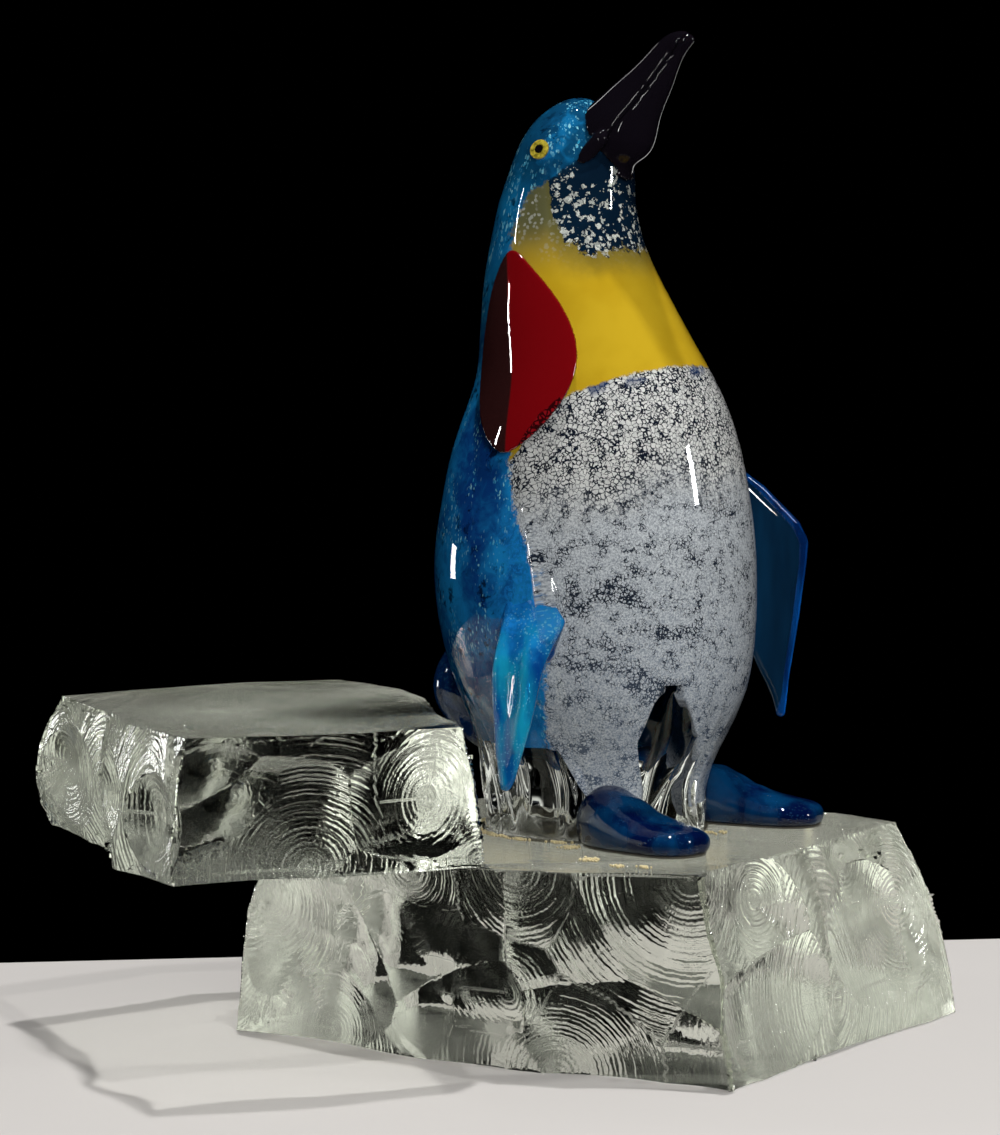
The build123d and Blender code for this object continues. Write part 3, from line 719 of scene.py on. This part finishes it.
gap = bmesh.new()
beads(gap, LEG_GAP)
leg_gap = put_up("leg_gap", melted(gap, LEG_GAP_GRAIN, LEG_GAP_POLISH))
whole_data = bpy.data.meshes.new("belly_whole")
whole_mesh = merged_copy("belly_colour")
whole_mesh.to_mesh(whole_data)
whole_mesh.free()
whole_belly = put_up("belly_whole", whole_data)
parting = whole_belly.modifiers.new("parting", "BOOLEAN")
parting.operation = "DIFFERENCE"
parting.object = leg_gap
parted = finished_mesh(whole_belly)
bpy.data.objects.remove(whole_belly)
bpy.data.objects.remove(leg_gap)
set_down_mesh(parted, "belly_leaf", ["belly_colour"], cased, LEAF_EDGE_ANGLE)

# Ear patches: gathers of transparent red glass that are pressed flat onto the sides of the neck.
# The yellow under them turns them red. Their rear part, over the blue, is painted nearly black
# brown: partly red over blue, partly painted shade on that side of the patch.
PATCH_RED, PATCH_ROUGHNESS = (0.17, 0.002, 0.004), 0.02
OVER_DARK, OVER_GRAINS = (0.012, 0.001, 0.002), (0.26, 0.006, 0.010)
# Nearly black brown for the patch's rear over the blue: partly red over blue, partly painted shade
OVER_BLUE_AND_SHADE = (0.022, 0.006, 0.006)
PATCH_GRAIN, PATCH_POLISH = 0.0006, 4


def patch_finish():
    """Red glass that shows what lies under it: yellow, blue, or the leaf of the belly. Its rear
    part over the blue is painted nearly black brown, partly as painted shade.
    """
    material, shader, tree = new_finish("red_patch", PATCH_RED, PATCH_ROUGHNESS)
    mix = Mixer(tree)
    under = mix.use(body_colours)
    at = mix.use(place_group)["Place"]
    covered = mix.step(under["Crackle"], 0.0, 1.0, 0.0, 0.92)
    flakes = mix.blend(covered, PATCH_RED, OVER_DARK)
    torn = mix.warp(at, 520, 0.0016)
    grains = mix.step(mix.cells(torn, 500, "DISTANCE_TO_EDGE"), 0.10, 0.24)
    grains = mix.times(grains, under["Crackle"])
    flakes = mix.blend(mix.times(grains, 0.8), flakes, OVER_GRAINS)
    # Painted nearly black brown where blue lies under: partly red over blue, partly painted shade
    colour = mix.blend(under["Blue"], flakes, OVER_BLUE_AND_SHADE)
    mix.plug(colour, shader.inputs["Base Color"])
    shader.inputs["Coat Weight"].default_value = 1.0
    shader.inputs["Coat Roughness"].default_value = 0.0
    return material


red = patch_finish()
for side in ("right", "left"):
    node = f"ear_patch_{side}"
    pressed = melted(merged_copy(node), PATCH_GRAIN, PATCH_POLISH)
    set_down_mesh(pressed, f"red_patch_{side}", [node], red)

# Eyes: a disc of opaque yellow glass with a bead of black glass set in it. Both were touched on
# hot from thin rods, and the flame left them smooth.
IRIS_DARK, IRIS_BRIGHT = (0.16, 0.13, 0.01), (0.58, 0.47, 0.05)
IRIS_GRAIN, PUPIL_GRAIN, EYE_POLISH = 0.00025, 0.00018, 4


def iris_finish():
    """Yellow glass with darker specks, under a smooth skin."""
    material, shader, tree = new_finish("eye_yellow", IRIS_BRIGHT, 0.03)
    mix = Mixer(tree)
    specks = mix.step(mix.grain(mix.use(place_group)["Place"], 520, 3), 0.35, 0.65)
    mix.plug(mix.blend(specks, IRIS_DARK, IRIS_BRIGHT), shader.inputs["Base Color"])
    shader.inputs["Coat Weight"].default_value = 1.0
    return material


yellow_disc = iris_finish()
black_bead, _, _ = new_finish("black_bead", (0.004, 0.003, 0.004), 0.02)
for side in ("right", "left"):
    for part, finish, slot, grain in (
        ("iris", yellow_disc, "iris_glass", IRIS_GRAIN),
        ("pupil", black_bead, "black_glass", PUPIL_GRAIN),
    ):
        node = f"eye_{part}_{side}"
        touched = melted(merged_copy(node), grain, EYE_POLISH)
        set_down_mesh(touched, f"{part}_{side}", [node], finish)

# Beak: two long bits of black glass, laid on the face hot, pulled to a point and creased along
# the mouth.
BEAK_GRAIN, BEAK_POLISH, BEAK_INDEX = 0.0007, 8, 1.32
beak_black, _, _ = new_finish("beak_black", (0.004, 0.003, 0.005), 0.015, 0.0, BEAK_INDEX)
beak = []
for node in ("upper_beak", "lower_beak"):
    pulled = melted(merged_copy(node), BEAK_GRAIN, BEAK_POLISH)
    beak.append(set_down_mesh(pulled, f"{node}_glass", [node], beak_black))

# Right flipper: a gather of blue glass that was drawn out to a blade with raised edges. Its top is
# fused into the side of the body, beside the clear strap.
BLADE_TOP = 110
BLADE_SLANT = -0.8
BLADE_GRAIN, BLADE_POLISH = 0.0007, 14
SINK_START, SINK_END, SINK_DEPTH = 70, 104, 0.012
RIDGES = [
    [((-71, -4, 112), 2.6), ((-76.5, -1, 88), 3.4), ((-79, 0.5, 62), 3.2), ((-81, 2.5, 40), 2.6),
     ((-82, 4.5, 27), 1.6)],
    [((-75, 11.5, 93), 2.2), ((-76.5, 12, 82), 3.0), ((-79, 11.5, 62), 2.6), ((-81, 8.5, 42), 1.8)],
]
BLUE_SLANT_LIGHT = 0.7


def blue_finish(name, deep, bright, specks, transmission, edge=0.0, streaks=110, mottled=0.0):
    """Blue glass with powder in it, deepest at its front edge and mottled like the back above."""
    material, shader, tree = new_finish(name, bright, 0.0, transmission)
    mix = Mixer(tree)
    place = mix.use(place_group)
    at = place["Place"]
    streak = mix.grain(mix.stretch(at, (1, 1, 0.22)), streaks, 3)
    colour = mix.blend(mix.step(streak, 0.36, 0.62), deep, bright)
    front = mix.step(place["Forward"], 0.19, 0.23, 0.0, edge)
    front = mix.times(front, mix.step(place["Height"], 0.30, 0.27))
    colour = mix.blend(front, colour, (0.002, 0.025, 0.22))
    ragged_height = mix.sum("MULTIPLY_ADD", mix.grain(at, 120, 3), 0.10, place["Height"])
    upper = mix.step(ragged_height, 0.29, 0.36, 0.0, mottled)
    colour = mix.blend(upper, colour, mix.use(back_blue)["Color"])
    torn = mix.warp(at, 400, 0.002)
    fleck = mix.step(mix.cells(torn, 720), 0.34, 0.20)
    fleck = mix.times(fleck, mix.step(mix.grain(at, 80, 2), 0.44, 0.60), specks)
    mix.plug(mix.blend(fleck, colour, (0.16, 0.58, 0.78)), shader.inputs["Base Color"])
    clear_through(material, shader, bright, BLUE_SLANT_LIGHT)
    return material


def sunk(data):
    """Draws the top of the blade into the body."""
    from_row = FIGURE.inverted()
    for vert in data.vertices:
        local = from_row @ vert.co
        share = max(0, min(1, (local.z * 1000 - SINK_START) / (SINK_END - SINK_START)))
        local.x += SINK_DEPTH * share * share * (3 - 2 * share)
        vert.co = FIGURE @ local
    return data


blade = merged_copy("flipper_right")
bmesh.ops.bisect_plane(
    blade, geom=[*blade.verts, *blade.edges, *blade.faces], plane_co=in_figure(0, 0, BLADE_TOP),
    plane_no=FIGURE.to_3x3() @ Vector((0, BLADE_SLANT, 1)), clear_outer=True,
)
bmesh.ops.holes_fill(blade, edges=blade.edges, sides=0)
for ridge in RIDGES:
    beads(blade, ridge)
azure = blue_finish(
    "flipper_azure", (0.003, 0.10, 0.34), (0.010, 0.38, 0.58), 0.8, 0.42, 0.7, mottled=1.0
)
drawn_out = sunk(melted(blade, BLADE_GRAIN, BLADE_POLISH))
near_blade = set_down_mesh(drawn_out, "flipper_blade", ["flipper_right"], azure)

# Left flipper: a thin blade of dark blue glass, pulled out from the body and bent forward. A
# brighter rim is melted onto its outer edge and ends in a drip.
FAR_RIM = [
    ((71, 26.5, 153), 2.2), ((86, 36, 141), 2.5), ((100.5, 45.5, 125), 2.8),
    ((103.8, 47.8, 117), 3.0), ((103.2, 47.5, 107), 2.6), ((99.8, 46, 84), 2.4),
    ((95.8, 43.4, 57), 2.2), ((94.4, 42.2, 42), 2.3),
]
RIM_GRAIN, RIM_POLISH = 0.0006, 4
FAR_GRAIN, FAR_POLISH = 0.0008, 5
rim = bmesh.new()
beads(rim, FAR_RIM)
rim_blue = blue_finish("flipper_rim", (0.002, 0.03, 0.16), (0.004, 0.10, 0.42), 0.0, 0.6)
set_down_mesh(melted(rim, RIM_GRAIN, RIM_POLISH), "flipper_rim", [], rim_blue)
far_blue = blue_finish(
    "flipper_far", (0.002, 0.012, 0.03), (0.003, 0.024, 0.06), 0.0, 0.0, streaks=40
)
far_blade = melted(merged_copy("flipper_left"), FAR_GRAIN, FAR_POLISH)
set_down_mesh(far_blade, "flipper_far", ["flipper_left"], far_blue)

# Tail: a rounded lobe of dark blue glass, pressed on hot at the foot of the back.
TAIL_GRAIN, TAIL_POLISH = 0.0009, 5
navy = blue_finish("tail_navy", (0.002, 0.010, 0.05), (0.003, 0.03, 0.13), 0.15, 0.5)
lobe = melted(merged_copy("tail"), TAIL_GRAIN, TAIL_POLISH)
set_down_mesh(lobe, "tail_lobe", ["tail"], navy)

# Feet: two pads of cobalt glass, drawn out hot and pressed flat, with soft creases between the
# toes. They are glued down in front of the body.
FOOT_GRAIN, FOOT_POLISH = 0.0009, 6
CREASE_SCALE, CREASE_DEPTH = 40, 0.0022
DIMPLE_SCALE, DIMPLE_DEPTH = 130, 0.0008


def creased_foot(node):
    """A foot with shallow creases pressed into its top along its length."""
    data = melted(merged_copy(node), FOOT_GRAIN, FOOT_POLISH)
    low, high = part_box(node)
    for vert in data.vertices:
        rise = (vert.co.z - low.z) / (high.z - low.z)
        crease = noise.noise(Vector((vert.co.x * CREASE_SCALE, vert.co.y * CREASE_SCALE, 1)))
        dimple = noise.noise(vert.co * DIMPLE_SCALE)
        depth = CREASE_DEPTH * max(0, crease) + DIMPLE_DEPTH * dimple
        vert.co.z -= depth * max(0, min(1, rise * 2 - 0.4))
    return data


cobalt = blue_finish(
    "foot_cobalt", (0.001, 0.006, 0.05), (0.002, 0.05, 0.15), 0.05, 0.25, streaks=60
)
for side in ("right", "left"):
    node = f"foot_{side}"
    set_down_mesh(creased_foot(node), f"{node}_pad", [node], cobalt)

# Glue: clear adhesive in thin pads under the body and the feet. Where it squeezed out it set in
# golden crumbs round the figure's foot.
GLUE_TINT, GLUE_LIGHT, GLUE_SLANT_LIGHT = (0.86, 0.80, 0.62), (0.9, 0.85, 0.7), 0.8
# Each heap gives its place to the left and forward, its spread and its number of crumbs, in the
# figure's millimetres
CRUMBS = [
    ((-14, -44), 7, 60), ((-30, -35), 7, 70), ((-38, -24), 7, 70), ((-42, -8), 5, 40),
    ((-46, 10), 4, 30), ((-58, 22), 4, 40), ((-82, 44), 4, 40), ((-91, 62), 3, 26),
    ((-87, 72), 3, 22), ((20, -44), 7, 30), ((44, -20), 6, 30), ((46, 12), 6, 24),
    ((8, 52), 5, 20), ((60, 40), 5, 16),
]
SMALLEST_CRUMB, LARGEST_CRUMB = 0.3, 0.85
CLEAR_OF_BODY, NEAREST_CRUMB, FARTHEST_CRUMB = 50, 48.6, 51.5
BLOCK_TOP = -0.7
glue, glue_shader, _ = new_finish("glue_clear", GLUE_TINT, 0.15, 0.9)
clear_through(glue, glue_shader, GLUE_LIGHT, GLUE_SLANT_LIGHT)
for node in ("body_adhesive", "foot_adhesive_right", "foot_adhesive_left"):
    finish_solid(node, glue)
crumbs = bmesh.new()
chance = random.Random(7)
for (left, forward), spread, count in CRUMBS:
    for _ in range(count):
        here = Vector((left + chance.gauss(0, spread / 2), forward + chance.gauss(0, spread / 2)))
        if here.length < CLEAR_OF_BODY:
            here = here.normalized() * chance.uniform(NEAREST_CRUMB, FARTHEST_CRUMB)
        size = chance.uniform(SMALLEST_CRUMB, LARGEST_CRUMB)
        place = Matrix.Translation(in_figure(here.x, here.y, size * 0.6 + BLOCK_TOP))
        bmesh.ops.create_icosphere(crumbs, subdivisions=1, radius=size / 1000, matrix=place)
gold, _, _ = new_finish("glue_crumbs", (0.74, 0.62, 0.34), 0.35)
set_down(crumbs, "glue_crumbs", [], gold)

# Studio: a pale table that ends behind the blocks, with a black cloth beyond it. Two small lamps
# hang overhead, strips and a soft fill stand round it, and a few lamps light one piece alone.
PHOTO_HEIGHT, PHOTO_FOCAL, PHOTO_HORIZON = 1135, 3250, 350
SENSOR = 36
TABLE_COLOUR, TABLE_LEVEL = (0.66, 0.63, 0.60), -0.0003
TABLE_CORNERS = [(-0.6, -0.55), (0.6, -0.55), (0.6, 0.24875), (-0.6, 0.09125)]
# The bright parts of the room: the axis they lie on, where they start and end, and their strength
ROOM = [("X", 0.38, 0.58, 0.75), ("X", -0.33, -0.52, 1.2), ("Z", 0.55, 0.80, 0.25)]
ROOM_TINT, ROOM_DARK, ROOM_PLAIN = (0.98, 1.0, 0.90), 0.01, (0.12, 0.12, 0.125)
CLOTH_START, CLOTH_END = 0.85, 0.97
scene = bpy.context.scene
scene.view_settings.view_transform = "Standard"
scene.cycles.caustics_reflective = False
scene.cycles.caustics_refractive = False

camera_data = bpy.data.cameras.new("camera")
camera_data.sensor_width = SENSOR
camera_data.lens = PHOTO_FOCAL * SENSOR / PHOTO_HEIGHT
camera = bpy.data.objects.new("camera", camera_data)
scene.collection.objects.link(camera)
camera.location = (-0.0445, -1.375, 0.2865)
look_down = math.atan((PHOTO_HEIGHT / 2 - PHOTO_HORIZON) / PHOTO_FOCAL)
camera.rotation_euler = (math.radians(90) - look_down, 0, 0)
scene.camera = camera

table_mesh = bmesh.new()
table_mesh.faces.new([table_mesh.verts.new((x, y, TABLE_LEVEL)) for x, y in TABLE_CORNERS])
table_data = bpy.data.meshes.new("table")
table_mesh.to_mesh(table_data)
table_mesh.free()
table = bpy.data.objects.new("table", table_data)
scene.collection.objects.link(table)
linen, _, _ = new_finish("pale_table", TABLE_COLOUR, 0.7)
table_data.materials.append(linen)
table.visible_glossy = False

world = bpy.data.worlds.new("studio")
scene.world = world
world.use_nodes = True
studio = world.node_tree
mix = Mixer(studio)
light_path = studio.nodes.new("ShaderNodeLightPath")
side = studio.nodes.new("ShaderNodeSeparateXYZ")
here = studio.nodes.new("ShaderNodeTexCoord")
studio.links.new(here.outputs["Generated"], side.inputs["Vector"])
room = ROOM_DARK
for axis, start, end, strength in ROOM:
    room = mix.sum("ADD", room, mix.step(side.outputs[axis], start, end, 0.0, strength))
room = mix.times(room, mix.step(side.outputs["Y"], CLOTH_END, CLOTH_START))
room = mix.blend(1.0, ROOM_TINT, room, "MULTIPLY")
# Only glass that is looked through shows the room; a mirror image shows the lamps alone
refracted = light_path.outputs["Is Transmission Ray"]
room = mix.blend(refracted, ROOM_PLAIN, room)
mirrored = mix.sum("SUBTRACT", light_path.outputs["Is Glossy Ray"], refracted, clamp=True)
black_out = mix.sum("MAXIMUM", light_path.outputs["Is Camera Ray"], mirrored)
background = studio.nodes["Background"].inputs["Color"]
mix.plug(mix.blend(black_out, room, (0.0, 0.0, 0.0)), background)

MIDDLE, HEAD, NEAR_BLADE = (0, 0, 0.2), (0.04, -0.03, 0.39), (-0.06, -0.06, 0.16)


def lamp(name, direction, distance, size, power, mirrored=True, target=MIDDLE, only=()):
    """A soft rectangular lamp; a fill lamp shows in no glass, and some light a few pieces only."""
    data = bpy.data.lights.new(name, "AREA")
    data.shape = "RECTANGLE"
    data.size, data.size_y = size
    data.energy = power
    light = bpy.data.objects.new(name, data)
    scene.collection.objects.link(light)
    light.location = Vector(target) + Vector(direction).normalized() * distance
    light.rotation_euler = (Vector(target) - light.location).to_track_quat("-Z", "Y").to_euler()
    light.visible_camera = False
    light.visible_glossy = light.visible_transmission = mirrored
    if only:
        lit = bpy.data.collections.new(name)
        for piece in only:
            lit.objects.link(piece)
        light.light_linking.receiver_collection = lit


lamp("overhead", (0.02, 0.06, 1.0), 2.6, (0.11, 0.11), 42)
lamp("high_front", (0.28, -0.55, 1.0), 2.6, (0.11, 0.11), 18, mirrored=False)
lamp("right_strip", (0.97, -0.22, 0.30), 1.3, (0.09, 0.26), 3)
lamp("left_strip", (-0.93, 0.0, 0.42), 1.3, (0.022, 0.10), 0.8)
lamp("left_panel", (-0.86, 0.51, -0.02), 1.3, (0.16, 0.16), 1.0)
lamp("front_fill", (0.1, -1.0, 0.22), 2.5, (0.8, 0.8), 27, mirrored=False)
lamp("beak_edge", (-0.54, 0.79, 0.31), 0.6, (0.03, 0.3), 0.16, target=HEAD, only=beak)
lamp("beak_underside", (0.37, 0.85, -0.30), 0.5, (0.03, 0.3), 0.08, target=HEAD, only=beak)
lamp("beak_streak", (-0.25, -0.92, 0.12), 0.7, (0.012, 0.25), 0.8, target=HEAD, only=beak)
lamp(
    "blade_streak", (-0.85, -0.5, -0.08), 0.7, (0.02, 0.6), 0.8,
    target=NEAR_BLADE, only=[near_blade],
)
